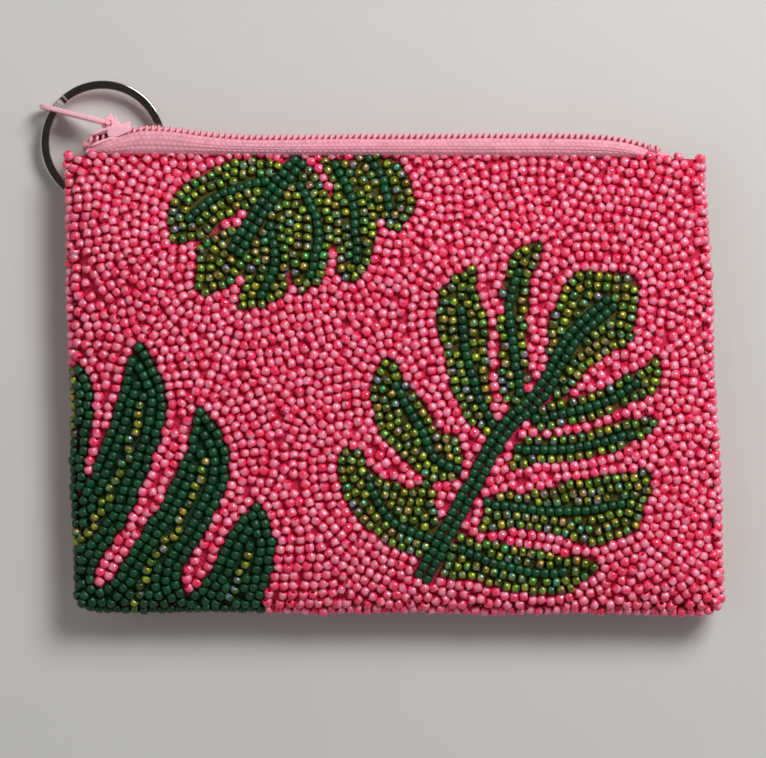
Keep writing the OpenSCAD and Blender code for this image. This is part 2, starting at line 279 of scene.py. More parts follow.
def surface_frame(points, along):
    """Unit normal and tangent of the bead surface at each point, for strings running `along`."""
    e = 0.4
    dx = (bead_height(points + (e, 0)) - bead_height(points - (e, 0))) / (2 * e)
    dy = (bead_height(points + (0, e)) - bead_height(points - (0, e))) / (2 * e)
    normal = np.stack([-dx, -dy, np.ones(len(points))], 1)
    tangent = np.stack([along[:, 0], along[:, 1], dx * along[:, 0] + dy * along[:, 1]], 1)
    return unit(normal), unit(tangent)


# --- laying the beads ---------------------------------------------------------


class Layout:
    """Beads of one panel: their places, string directions, colours and the part they belong to."""

    def __init__(self):
        self.place = np.zeros((0, 2))
        self.along = np.zeros((0, 2))
        self.kind = []
        self.part = []

    def free(self, point, gap=CLOSEST):
        if not len(self.place):
            return True
        return ((self.place - point) ** 2).sum(1).min() > gap * gap

    def add(self, point, along, kind, part):
        self.place = np.vstack([self.place, point])
        self.along = np.vstack([self.along, along])
        self.kind.append(kind)
        self.part.append(part)

    def string(self, line, kind, part, pitch=STRING_PITCH, gap=CLOSEST, inside=None):
        """Threads beads along a line, leaving out those that would touch others."""
        line = evenly(line, pitch)
        if len(line) < 2:
            return
        towards = directions(line)
        fits = np.ones(len(line), bool) if inside is None else inside(line)
        for point, along, fit in zip(line, towards, fits):
            if fit and self.free(point, gap):
                self.add(point, along, kind, part)


def beside(line, offset):
    """The line moved sideways."""
    towards = directions(line)
    return line + offset * np.stack([-towards[:, 1], towards[:, 0]], 1)


def runs(line, keep):
    """The stretches of a line whose points are kept."""
    out, current = [], []
    for point, kept in zip(line, keep):
        if kept:
            current.append(point)
        elif current:
            out.append(np.array(current))
            current = []
    if current:
        out.append(np.array(current))
    return [r for r in out if len(r) > 3]


def in_panel(points, margin=FIELD_INSET):
    top, right, bottom, left = edge_depths(points)
    sides = np.minimum(np.minimum(right, bottom), left) >= margin
    corner = np.ones(len(points), bool)
    for i, (x, y) in enumerate(CORNERS):
        centre = np.array([x - math.copysign(CORNER_RADIUS, x), y - math.copysign(CORNER_RADIUS, y)])
        past = (points - centre) * np.sign([x, y])
        out = (past > 0).all(1)
        corner &= ~(out & (np.linalg.norm(points - centre, axis=1) > CORNER_RADIUS - margin + 0.9))
    return sides & (top >= 0.3) & corner


def lay_leaf(layout, name, lobes, veins, blade, rib, midrib=None):
    """One leaf: its ribs first, then each lobe's strings from its edge inwards."""
    if midrib is not None:
        line = smooth_line(midrib, 0.3)
        for side in (-1, 1):
            layout.string(beside(line, side * 1.05), rib, name, VEIN_PITCH, inside=in_panel)
    for vein in veins:
        layout.string(smooth_line(vein, 0.3), rib, name, VEIN_PITCH, inside=in_panel)
    for lobe in lobes:
        edge = smooth_line(lobe, 0.4, closed=True)
        inward = 1 if signed_area(edge[:-1]) > 0 else -1
        for row in range(5):
            depth = ROW_PITCH * (row + 0.5)
            line = beside(edge, inward * depth)
            deep = -distance_to_polygons(line, [edge[:-1]])
            for stretch in runs(line, deep > depth - 0.25):
                layout.string(stretch, blade, name, inside=in_panel)


# A single bead fits where no other is nearer than this.
FILL_SPACING = {"pink": 1.66, "lime": 1.5, "green": 1.62}
RANDOM_TRIES = 36000
GRID_REACH_X, GRID_REACH_Y = 74, 52  # half the size of the grid of distances to the leaves
FIELD_ROWS = 26
FIELD_STRING_PITCH = 1.98


def edge_line(inset, pitch):
    """A line round the sides and bottom, `inset` from the outline, and its directions."""
    radius = CORNER_RADIUS - inset
    top_left, top_right, low_right, low_left = (
        corner - np.sign(corner) * inset for corner in CORNERS
    )
    path = [top_left + (0, -0.2)]
    for corner, sign, start in ((low_left, 1, 180), (low_right, -1, 270)):
        centre = corner + (sign * radius, radius)
        for angle in np.radians(np.linspace(start, start + 90, 9)):
            path.append(centre + radius * np.array([math.cos(angle), math.sin(angle)]))
    path.append(top_right + (0, -0.2))
    line = evenly(np.array(path), pitch)
    return line, directions(line)


def fill_gaps(layout, colour_at):
    """Sews single beads into the holes that the strings have left, beside the edge first."""
    tries = rng.uniform((-72, -50), (72, 50), (RANDOM_TRIES, 2))
    mouth = np.linspace(CORNERS[0], CORNERS[1], 700) - (0, 0.5)
    tries = np.vstack([mouth, edge_line(FIELD_INSET + 0.15, 0.2)[0], tries])
    tries = tries[in_panel(tries)]
    for point, (kind, part) in zip(tries, colour_at(tries)):
        if layout.free(point, FILL_SPACING[kind]):
            nearest = ((layout.place - point) ** 2).sum(1).argmin()
            layout.add(point, layout.along[nearest], kind, part)


def settle(layout, loose, rounds=60, target=2.02):
    """Pushes beads that crowd each other apart. Only those marked loose move freely."""
    place = layout.place
    share = np.where(loose, 1.0, 0.12)
    for _ in range(rounds):
        tree = kdtree.KDTree(len(place))
        for i, (x, y) in enumerate(place):
            tree.insert((x, y, 0), i)
        tree.balance()
        push = np.zeros_like(place)
        for i, (x, y) in enumerate(place):
            for co, j, gap in tree.find_range((x, y, 0), target):
                if j != i and gap > 1e-6:
                    push[i] += (place[i] - place[j]) / gap * (target - gap) * 0.5
        moved = place + push * 0.6 * share[:, None]
        ok = in_panel(moved)
        place[ok] = moved[ok]
    layout.place = place


def turned(shapes, half_turn):
    """The same outlines, or turned half round for the back."""
    if not half_turn:
        return shapes
    return [[(-x, -y) for x, y in shape] for shape in shapes]


def lay_panel(half_turn):
    """The beads of one panel. The back has the right-hand and low leaves, turned half round."""
    layout = Layout()
    right = turned(RIGHT_LOBES, half_turn)
    low = turned(LOW_LOBES, half_turn)
    top = [] if half_turn else TOP_LOBES
    lay_leaf(layout, "right", right, turned(RIGHT_VEINS, half_turn), "lime", "green",
             turned([RIGHT_MIDRIB], half_turn)[0])
    if top:
        lay_leaf(layout, "top", top, TOP_VEINS, "lime", "green", TOP_MIDRIB)
    lay_leaf(layout, "low", low, turned(LOW_STRIPES, half_turn), "green", "lime")

    right_shapes = [smooth_line(s, 0.6, closed=True)[:-1] for s in right]
    top_shapes = [smooth_line(s, 0.6, closed=True)[:-1] for s in top]
    low_shapes = [smooth_line(s, 0.6, closed=True)[:-1] for s in low]
    everything = right_shapes + top_shapes + low_shapes
    grid_x = np.arange(-GRID_REACH_X, GRID_REACH_X + 0.1, 1.0)
    grid_y = np.arange(-GRID_REACH_Y, GRID_REACH_Y + 0.1, 1.0)
    gx, gy = np.meshgrid(grid_x, grid_y)
    cells = np.stack([gx.ravel(), gy.ravel()], 1)
    field = distance_to_polygons(cells, everything).reshape(gx.shape)

    def clearance(points):
        u = np.clip(points[:, 0] + GRID_REACH_X, 0, len(grid_x) - 1.001)
        v = np.clip(points[:, 1] + GRID_REACH_Y, 0, len(grid_y) - 1.001)
        i, j = v.astype(int), u.astype(int)
        fu, fv = u - j, v - i
        low_row = field[i, j] * (1 - fu) + field[i, j + 1] * fu
        high_row = field[i + 1, j] * (1 - fu) + field[i + 1, j + 1] * fu
        return low_row * (1 - fv) + high_row * fv

    for row in range(FIELD_ROWS):
        depth = FIELD_PITCH * (row + 0.5)
        for edge in everything:
            closed = np.vstack([edge, edge[:1]])
            outward = -1 if signed_area(edge) > 0 else 1
            line = evenly(beside(closed, outward * depth), 0.5)
            for stretch in runs(line, (clearance(line) > depth - 0.35) & in_panel(line)):
                layout.string(stretch, "pink", "field", FIELD_STRING_PITCH, inside=in_panel)

    def colour_at(points):
        found = [("pink", "field")] * len(points)
        for shapes, kind, part in ((right_shapes, "lime", "right"), (top_shapes, "lime", "top"),
                                   (low_shapes, "green", "low")):
            within = distance_to_polygons(points, shapes) < 0
            found = [(kind, part) if w else f for w, f in zip(within, found)]
        return found

    fill_gaps(layout, colour_at)
    field = np.array([part == "field" for part in layout.part])
    layout.place = layout.place + rng.normal(0, 0.3, layout.place.shape) * field[:, None]
    is_vein = [part in ("right", "top") and kind == "green"
               for part, kind in zip(layout.part, layout.kind)]
    settle(layout, ~np.array(is_vein))
    at_mouth = edge_depths(layout.place)[0] < 1.3
    if half_turn:
        layout.kind = ["pink" if edge else k for k, edge in zip(layout.kind, at_mouth)]
        layout.part = ["field" if edge else p for p, edge in zip(layout.part, at_mouth)]
    layout.place = layout.place + at_mouth[:, None] * np.column_stack(
        [np.zeros(len(field)), rng.uniform(-0.35, 0.4, len(field))])
    layout.colour_at = colour_at
    return layout


def lay_edge(layout, back):
    """One string round the sides and bottom, just beside the seam between the two halves."""
    line, towards = edge_line(EDGE_INSET, STRING_PITCH)
    inward = np.stack([-towards[:, 1], towards[:, 0]], 1)
    strays = 0.22 * np.sin(np.arange(len(line)) * 0.31) + rng.normal(0, 0.14, len(line))
    low, high = EDGE_STRIPE
    for point, along, inner in zip(line + strays[:, None] * inward, towards, line + 1.8 * inward):
        nearest = ((layout.place - inner) ** 2).sum(1).argmin()
        kind, part = layout.kind[nearest], layout.part[nearest]
        if back:
            kind, part = "pink", "field"
        elif point[0] < 0 and low < point[1] < high:
            kind, part = "lime", "low"
        layout.add(point, along, kind, part)


# --- making meshes ------------------------------------------------------------


def placed(name, data):
    """A new object in the scene."""
    obj = bpy.data.objects.new(name, data)
    bpy.context.scene.collection.objects.link(obj)
    return obj


def new_object(name, verts, faces, smooth=True):
    """A mesh object from points in millimetres and lists of corners."""
    mesh = bpy.data.meshes.new(name)
    faces = np.asarray(faces, np.int32)
    mesh.vertices.add(len(verts))
    mesh.vertices.foreach_set("co", (np.asarray(verts, float) * MM).astype(np.float32).ravel())
    mesh.loops.add(faces.size)
    mesh.loops.foreach_set("vertex_index", faces.ravel())
    mesh.polygons.add(len(faces))
    mesh.polygons.foreach_set("loop_start", np.arange(len(faces), dtype=np.int32) * faces.shape[1])
    mesh.update(calc_edges=True)
    mesh.polygons.foreach_set("use_smooth", np.full(len(faces), smooth))
    mesh.validate()
    return placed(name, mesh)


def paint(obj, colours):
    """Stores one linear colour per vertex, as the attribute the materials read."""
    rgba = np.ones((len(obj.data.vertices), 4), np.float32)
    rgba[:, :3] = np.clip(colours, 0, 1)
    tint = obj.data.attributes.new("tint", "FLOAT_COLOR", "POINT")
    tint.data.foreach_set("color", rgba.ravel())


def grid_faces(rows, columns, around=False, closed=False):
    """Four-cornered faces of a grid of points. It may close across its columns or its rows."""
    i = np.arange(rows if closed else rows - 1)
    j = np.arange(columns if around else columns - 1)
    a, b = np.meshgrid(i, j, indexing="ij")
    c, d = (a + 1) % rows, (b + 1) % columns
    corners = [a * columns + b, a * columns + d, c * columns + d, c * columns + b]
    return np.stack([k.ravel() for k in corners], 1)


# A bead's section: distance from its axis, and place along its length, as shares of half.
BEAD_SECTION = np.array([
    (0.40, -0.80), (0.70, -0.98), (0.94, -0.64), (1.02, 0), (0.94, 0.64), (0.70, 0.98), (0.40, 0.80)
])
BEAD_SIDES = 12


def linear(*rgb):
    """Linear colour of a display colour given from 0 to 255."""
    c = np.array(rgb, float) / 255
    return np.where(c <= 0.04045, c / 12.92, ((c + 0.055) / 1.055) ** 2.4)


PINK_BODY = linear(255, 62, 110)
# Painted highlight for the side of a pink bead that faces the light.
PINK_PAINTED_HIGHLIGHT = linear(255, 156, 182)
# The lining's deeper colour, seen at the holes, also used as painted shade on the side of a bead
# away from the light.
PINK_LINING_AND_PAINTED_SHADE = linear(240, 26, 82)
GREEN_BODY = linear(0, 66, 32)
LIME_BODIES = np.array([
    linear(66, 88, 4), linear(46, 76, 6), linear(92, 108, 8), linear(88, 80, 6)
])
# Painted highlights: the glints of the lime beads' rainbow coating, painted in patches.
LIME_PAINTED_GLINTS = np.array([
    linear(180, 200, 30), linear(190, 206, 50), linear(206, 168, 50), linear(60, 176, 84),
    linear(80, 176, 160), linear(150, 140, 180), linear(214, 160, 120), linear(150, 190, 50)
])


def bead_colours(kind, count, outward, ends):
    """Colour of every bead vertex, with painted highlights and painted shade in it. `outward` is its
    direction and `ends` is 1 at a bead's ends.
    """
    shade = rng.normal(1, 0.09, (count, 1, 1, 1)).clip(0.75, 1.25)
    if kind == "pink":
        # Painted light: each bead is painted lighter on the side facing up towards the key light, as
        # a painted highlight, and deeper on the side away from it, as painted shade.
        towards = unit(rng.normal(0, 0.45, (count, 3)) + (0.25, 0.25, 0.8))
        facing = (outward * towards[:, None, None, :]).sum(-1)[..., None]
        body = PINK_BODY * shade * (1 + rng.normal(0, 0.06, (count, 1, 1, 3)))
        light = PINK_PAINTED_HIGHLIGHT * rng.uniform(0.75, 1.1, (count, 1, 1, 1))
        colour = body + (light - body) * smoothstep(0.5, 1.0, facing)
        # Painted shade on the side away from the light.
        colour += (PINK_LINING_AND_PAINTED_SHADE - colour) * smoothstep(0.3, -0.5, facing)
        # Deeper at the hole ends: partly the lining seen there, partly painted shade in the hole.
        return colour + (PINK_LINING_AND_PAINTED_SHADE - colour) * (ends * 0.85)[..., None]
    if kind == "green":
        body = GREEN_BODY * rng.uniform(0.6, 1.25, (count, 1, 1, 1))
        # Painted shade: a little darker towards the hole at each end.
        return body * (1 - 0.25 * ends[..., None])
    body = LIME_BODIES[rng.integers(0, len(LIME_BODIES), count)][:, None, None, :] * shade
    colour = np.broadcast_to(body, outward.shape).copy()
    # Painted highlights: up to three patches of glint colour on the side of each bead facing up
    # towards the key light.
    for strength, wide in ((1.0, 0.66), (0.6, 0.76), (0.5, 0.80)):
        towards = unit(rng.normal(0, 0.6, (count, 3)) + (0.15, 0.2, 0.75))
        flash = LIME_PAINTED_GLINTS[rng.integers(0, len(LIME_PAINTED_GLINTS), count)]
        facing = (outward * towards[:, None, None, :]).sum(-1)
        share = smoothstep(wide, 0.97, facing) * strength * rng.random((count, 1, 1)) ** 0.5
        colour += (flash[:, None, None, :] - colour) * share[..., None]
    # Painted shade: darker towards the hole at each end.
    return colour * (1 - 0.6 * ends[..., None])


def bead_object(name, kind, centres, axes, ups, diameters, lengths):
    """One mesh of many beads, each a short glass tube with rounded ends and a hole."""
    axes = unit(axes)
    sides = unit(np.cross(axes, ups))
    ups = np.cross(sides, axes)
    turn = np.linspace(0, 2 * np.pi, BEAD_SIDES, endpoint=False)
    across = (np.cos(turn)[None, :, None] * ups[:, None, :]
              + np.sin(turn)[None, :, None] * sides[:, None, :])
    radial, axial = BEAD_SECTION[:, 0], BEAD_SECTION[:, 1]
    half = diameters[:, None, None, None] / 2
    points = (centres[:, None, None, :]
              + across[:, None] * half * radial[None, :, None, None]
              + axes[:, None, None, :] * (lengths[:, None, None, None] / 2)
              * axial[None, :, None, None])
    outward = unit(points - centres[:, None, None, :])
    ends = np.broadcast_to(smoothstep(0.4, 1, np.abs(axial) * (1.4 - radial))[None, :, None],
                           points.shape[:3])
    colours = bead_colours(kind, len(centres), outward, ends)
    rings = len(BEAD_SECTION)
    one = grid_faces(rings, BEAD_SIDES, around=True, closed=True)
    step = np.arange(len(centres)) * rings * BEAD_SIDES
    faces = (one[None] + step[:, None, None]).reshape(-1, 4)
    obj = new_object(name, points.reshape(-1, 3), faces)
    paint(obj, colours.reshape(-1, 3))
    return obj


# --- materials ----------------------------------------------------------------


class Nodes:
    """A new material's nodes, with short ways to add and join them."""

    def __init__(self, name, **values):
        self.material = bpy.data.materials.new(name)
        self.material.use_nodes = True
        self.tree = self.material.node_tree
        self.shader = self.tree.nodes["Principled BSDF"]
        for key, value in values.items():
            self.shader.inputs[key.replace("_", " ")].default_value = value

    def add(self, kind, inputs=None, **settings):
        node = self.tree.nodes.new("ShaderNode" + kind)
        for key, value in settings.items():
            setattr(node, key, value)
        for key, value in (inputs or {}).items():
            if isinstance(value, bpy.types.NodeSocket):
                self.tree.links.new(value, node.inputs[key])
            else:
                node.inputs[key].default_value = value
        return node

    def math(self, operation, a, b=0.0):
        return self.add("Math", {0: a, 1: b}, operation=operation).outputs[0]

    def place(self):
        return self.add("TexCoord").outputs["Object"]

    def noise(self, scale, detail=2.0, roughness=0.5, vector=None):
        inputs = {"Scale": scale, "Detail": detail, "Roughness": roughness}
        inputs["Vector"] = vector or self.place()
        return self.add("TexNoise", inputs).outputs["Fac"]

    def ramp(self, value, low, high):
        """Maps 0..1 to the range low..high."""
        return self.add("MapRange", {"Value": value, "To Min": low, "To Max": high}).outputs[0]

    def mix(self, share, a, b, blend="MIX"):
        node = self.add("Mix", data_type="RGBA", blend_type=blend)
        for key, value in (("Factor_Float", share), ("A_Color", a), ("B_Color", b)):
            socket = next(i for i in node.inputs if i.identifier == key)
            if isinstance(value, bpy.types.NodeSocket):
                self.tree.links.new(value, socket)
            elif key == "Factor_Float":
                socket.default_value = value
            else:
                socket.default_value = (*value, 1.0)
        return next(o for o in node.outputs if o.identifier == "Result_Color")

    def colour(self, socket):
        self.tree.links.new(socket, self.shader.inputs["Base Color"])

    def tint_times(self, shade):
        """Colours the material by each vertex's tint, lighter or darker by the shade."""
        tint = self.add("Attribute", attribute_name="tint", attribute_type="GEOMETRY")
        grey = self.add("CombineColor", {"Red": shade, "Green": shade, "Blue": shade})
        self.colour(self.mix(1.0, tint.outputs["Color"], grey.outputs[0], "MULTIPLY"))

    def roughness(self, socket):
        self.tree.links.new(socket, self.shader.inputs["Roughness"])

    def bump(self, height, distance, strength=1.0):
        node = self.add("Bump", {"Height": height, "Distance": distance, "Strength": strength})
        self.tree.links.new(node.outputs["Normal"], self.shader.inputs["Normal"])


def tinted(name, uneven, scale, **values):
    """A material coloured by each vertex's tint, with a fine unevenness in it."""
    m = Nodes(name, **values)
    m.tint_times(m.ramp(m.noise(scale), 1 - uneven, 1 + uneven))
    return m.material


def plain(name, colour, **values):
    """What a piece falls back to where its detailed colour can't be used."""
    m = Nodes(name, **values)
    m.shader.inputs["Base Color"].default_value = (*colour, 1.0)
    return m.material


def dress(obj, detailed, fallback, node):
    """Gives a piece its materials and hides the CAD node it replaces."""
    obj.data.materials.clear()
    obj.data.materials.append(fallback)
    obj.material_slots[0].link = "OBJECT"
    obj.material_slots[0].material = detailed
    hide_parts(node)


PINK_GLASS = dict(Roughness=0.26, IOR=1.5, Coat_Weight=1.0, Coat_Roughness=0.07,
                  Subsurface_Weight=0.5, Subsurface_Scale=0.0012,
                  Subsurface_Radius=(1.0, 0.25, 0.35))
LIME_GLASS = dict(Roughness=0.3, IOR=1.5, Metallic=0.35, Coat_Weight=0.5, Coat_Roughness=0.08)
GREEN_GLASS = dict(Roughness=0.42, IOR=1.45, Coat_Weight=0.12, Coat_Roughness=0.22)

BEAD_LOOKS = {
    "pink": (tinted("pink_glass_beads", 0.10, 1100.0, **PINK_GLASS),
             plain("pink_glass", PINK_BODY, **PINK_GLASS), "pink_beads"),
    "lime": (tinted("lime_rainbow_beads", 0.18, 1500.0, **LIME_GLASS),
             plain("lime_glass", LIME_BODIES[0], **LIME_GLASS), "lime_beads"),
    "green": (tinted("emerald_beads", 0.15, 900.0, **GREEN_GLASS),
              plain("emerald_glass", GREEN_BODY, **GREEN_GLASS), "green_beads"),
}


# --- the two bead panels ------------------------------------------------------


def join_to_body(obj, back):
    """A back piece rides the back. A front one keeps its place, with its transform applied to its
    mesh.
    """
    if back:
        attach(obj, "back")
        return
    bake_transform(obj)


def to_world(points, h, back):
    """Points at height h from the middle plane, on the front's side or the back's."""
    z = MIDDLE - h if back else MIDDLE + h
    return np.column_stack([points, z])


FRONT_NODES = {
    ("field", "pink"): "front_field_beads",
    ("right", "lime"): "leaf_right_blades",
    ("right", "green"): "leaf_right_veins",
    ("top", "lime"): "leaf_top_blades",
    ("top", "green"): "leaf_top_veins",
    ("low", "green"): "leaf_low_lobes",
    ("low", "lime"): "leaf_low_stripes",
}
BACK_NODES = {"pink": "back_field_beads", "lime": "back_lime_beads", "green": "back_green_beads"}
# Middle size and its spread, then the spread of the beads' turn and tilt in degrees.
BEAD_SPREAD = {
    "pink": (2.16, 0.09, 1.84, 0.12, 26, 16),
    "lime": (2.06, 0.07, 1.66, 0.09, 10, 10),
    "green": (2.06, 0.04, 1.90, 0.04, 5, 3),
}


def back_piece(kind, x):
    """Which piece of the back's beads a bead belongs to."""
    if kind != "pink":
        return "all"
    if abs(x) < 24:
        return "middle"
    return "left" if x < 0 else "right"


def make_panel(back):
    layout = lay_panel(back)
    lay_edge(layout, back)
    place, along = layout.place, layout.along
    height = bead_height(place)
    normal, tangent = surface_frame(place, along)
    kinds, parts = np.array(layout.kind), np.array(layout.part)
    for kind in ("pink", "lime", "green"):
        diameter, diameter_spread, length, length_spread, turn, tilt = BEAD_SPREAD[kind]
        chosen = np.flatnonzero(kinds == kind)
        n = len(chosen)
        up, axis = normal[chosen], tangent[chosen]
        side = np.cross(up, axis)
        turned_by = np.radians(rng.normal(0, turn, (n, 1)))
        tilted_by = np.radians(rng.normal(0, tilt, (n, 1)))
        axis = axis * np.cos(turned_by) + side * np.sin(turned_by)
        axis = unit(axis + up * np.tan(tilted_by.clip(-0.5, 0.5)))
        h = height[chosen] + rng.normal(0, 0.07, n).clip(-0.15, 0.12)
        diameters = (diameter + rng.normal(0, diameter_spread, n)).clip(1.8, 2.3)
        lengths = (length + rng.normal(0, length_spread, n)).clip(1.4, 2.05)
        centres = to_world(place[chosen], h, back)
        if back:
            axis, up = axis * (1, 1, -1), up * (1, 1, -1)
        groups = {}
        for i, bead in enumerate(chosen):
            x = place[bead][0]
            if back:
                node, side_name = BACK_NODES[kind], back_piece(kind, x)
            else:
                node, side_name = FRONT_NODES[(parts[bead], kind)], "left" if x < 0 else "right"
            groups.setdefault((node, side_name), []).append(i)
        detailed, fallback, slot = BEAD_LOOKS[kind]
        for (node, side_name), members in sorted(groups.items()):
            name = node if side_name == "all" else f"{node}_{side_name}"
            obj = bead_object("beads_" + name, kind, centres[members], axis[members],
                              up[members], diameters[members], lengths[members])
            dress(obj, detailed, fallback, node)
            join_to_body(obj, back)
    print("back" if back else "front", {k: int((kinds == k).sum()) for k in BACK_NODES})
    return layout


front_layout = make_panel(back=False)
back_layout = make_panel(back=True)


# --- canvas and lining --------------------------------------------------------

CANVAS_PINK = linear(208, 28, 78)
# The canvas under the lime beads, darkened to stand for painted shade in the gaps between them.
CANVAS_UNDER_LIME_SHADED = linear(78, 70, 8)
CANVAS_UNDER_GREEN = linear(4, 50, 20)


def cloth_panel(name, inset, drop, side, back, colour):
    """A sheet under the beads: `drop` below their outer surface, closing `inset` from the edge."""
    rows, columns = 84, 61
    x_share = np.linspace(0, 1, 2 * columns - 1)
    x_share = x_share[:columns] if side == "left" else x_share[columns - 1:]
    y_share = 1 - (1 - np.linspace(0, 1, rows)) ** 1.15
    top_left, top_right, low_right, low_left = CORNERS
    top_left, top_right = top_left + (inset, -0.7), top_right + (-inset, -0.7)
    low_left, low_right = low_left + (inset, inset), low_right + (-inset, inset)
    u, v = np.meshgrid(x_share, y_share)
    u, v = u[..., None], v[..., None]
    grid = ((low_left * (1 - u) + low_right * u) * (1 - v)
            + (top_left * (1 - u) + top_right * u) * v).reshape(-1, 2)
    for x, y in (CORNERS[2], CORNERS[3]):
        reach = CORNER_RADIUS
        centre = np.array([x - math.copysign(reach, x), y + reach])
        past = (grid - centre) * (math.copysign(1, x), -1)
        outside = (past > 0).all(1)
        far = np.linalg.norm(past, axis=1)
        square = np.abs(past).max(1)
        shrink = np.where(outside, square / far.clip(1e-6), 1)[:, None]
        grid = centre + (grid - centre) * shrink
    _, right, bottom, left = edge_depths(grid)
    seam = np.minimum(np.minimum(right, left), bottom)
    turn = np.clip((seam - inset) / 2.4, 0, 1)
    h = (panel_height(grid) - drop - 0.12) * np.sqrt(1 - (1 - turn) ** 2) + 0.12
    faces = grid_faces(rows, columns)
    if back:
        faces = faces[:, ::-1]
    obj = new_object(name, to_world(grid, h, back), faces)
    paint(obj, colour(grid))
    thick = obj.modifiers.new("thickness", "SOLIDIFY")
    thick.thickness = 0.2 * MM
    thick.offset = -1
    return obj


def canvas_colour(layout):
    def colour(points):
        out = np.tile(CANVAS_PINK, (len(points), 1))
        for i, (kind, _) in enumerate(layout.colour_at(points)):
            if kind != "pink":
                out[i] = CANVAS_UNDER_LIME_SHADED if kind == "lime" else CANVAS_UNDER_GREEN
        return out
    return colour


def woven(name, threads, depth, uneven=0.1, **values):
    """Plain-woven cloth coloured by tint and painted darker where the weave dips: `threads` per
    metre, raised by `depth` metres.
    """
    m = Nodes(name, **values)
    xyz = m.add("SeparateXYZ", {0: m.place()}).outputs
    waves = []
    for axis in (0, 1):
        phase = m.math("MULTIPLY", xyz[axis], threads * 2 * math.pi)
        waves.append(m.math("SINE", phase))
    weave = m.math("MULTIPLY", waves[0], waves[1])
    # Painted shade: darker where the weave dips, lighter on the raised threads; the noise is the
    # cloth's uneven tone.
    shade = m.math("ADD", m.ramp(weave, 0.9, 1.06), m.ramp(m.noise(420.0, 4.0), -uneven, uneven))
    m.tint_times(shade)
    m.bump(weave, depth)
    return m.material


CANVAS_CLOTH = woven("canvas_cloth", 900.0, 0.0001, Roughness=0.85)
CANVAS_PLAIN = plain("canvas_plain", CANVAS_PINK, Roughness=0.85)
LINING_PINK = linear(226, 150, 170)
LINING_CLOTH = woven("lining_cloth", 1400.0, 0.00006, Roughness=0.8, Sheen_Weight=0.2)
LINING_PLAIN = plain("lining_plain", LINING_PINK, Roughness=0.8)

for back, layout in ((False, front_layout), (True, back_layout)):
    half = "back" if back else "front"
    for side in ("left", "right"):
        canvas = cloth_panel(f"{half}_canvas_{side}", 1.3, 1.6, side, back, canvas_colour(layout))
        dress(canvas, CANVAS_CLOTH, CANVAS_PLAIN, f"{half}_canvas")
        lining = cloth_panel(f"{half}_lining_{side}", 2.6, 2.5, side, back,
                             lambda points: np.tile(LINING_PINK, (len(points), 1)))
        dress(lining, LINING_CLOTH, LINING_PLAIN, f"{half}_lining")
        for piece in (canvas, lining):
            join_to_body(piece, back)


# --- zipper -------------------------------------------------------------------

# How far the chain of the closed zipper strays from a straight line, at places along x. They
# were listed, then corrected from measured differences between a render and the object.
CHAIN_STRAYS = np.array([
    (-67, -3.2), (-64.5, -2.4), (-61.2, -1.8), (-58.7, -0.65), (-55.6, 0.35), (-51, 0.5),
    (-46, 0.0), (-40, -0.85), (-33, -1.4), (-24, -1.5), (-8, -1.3), (12, -1.25), (34, -1.15),
    (43, -1.35), (48, -1.8), (52, -2.7), (56, -3.8), (59, -4.4)
])
RIB_PITCH = 0.9  # between the rows of the tape's knitting
STITCH_PITCH = 1.15  # between the stitches of one row
# The tape's section on the front's side: y, and the height h above the middle plane.
TAPE_SECTION = [
    (41.2, 0.28), (46, 0.28), (48.4, 0.35), (49.2, 0.9), (49.5, 2.3), (49.95, 3.2), (50.8, 3.65),
    (51.7, 3.85), (52.5, 3.8), (53.15, 3.4), (53.3, 2.7), (53.25, 2.15)
]


def chain_stray(x):
    """The stray at x, rounded off between the listed places."""
    reach = np.linspace(-3, 3, 13)
    near = np.asarray(x, float)[..., None] + reach
    return np.interp(near, CHAIN_STRAYS[:, 0], CHAIN_STRAYS[:, 1]).mean(-1)


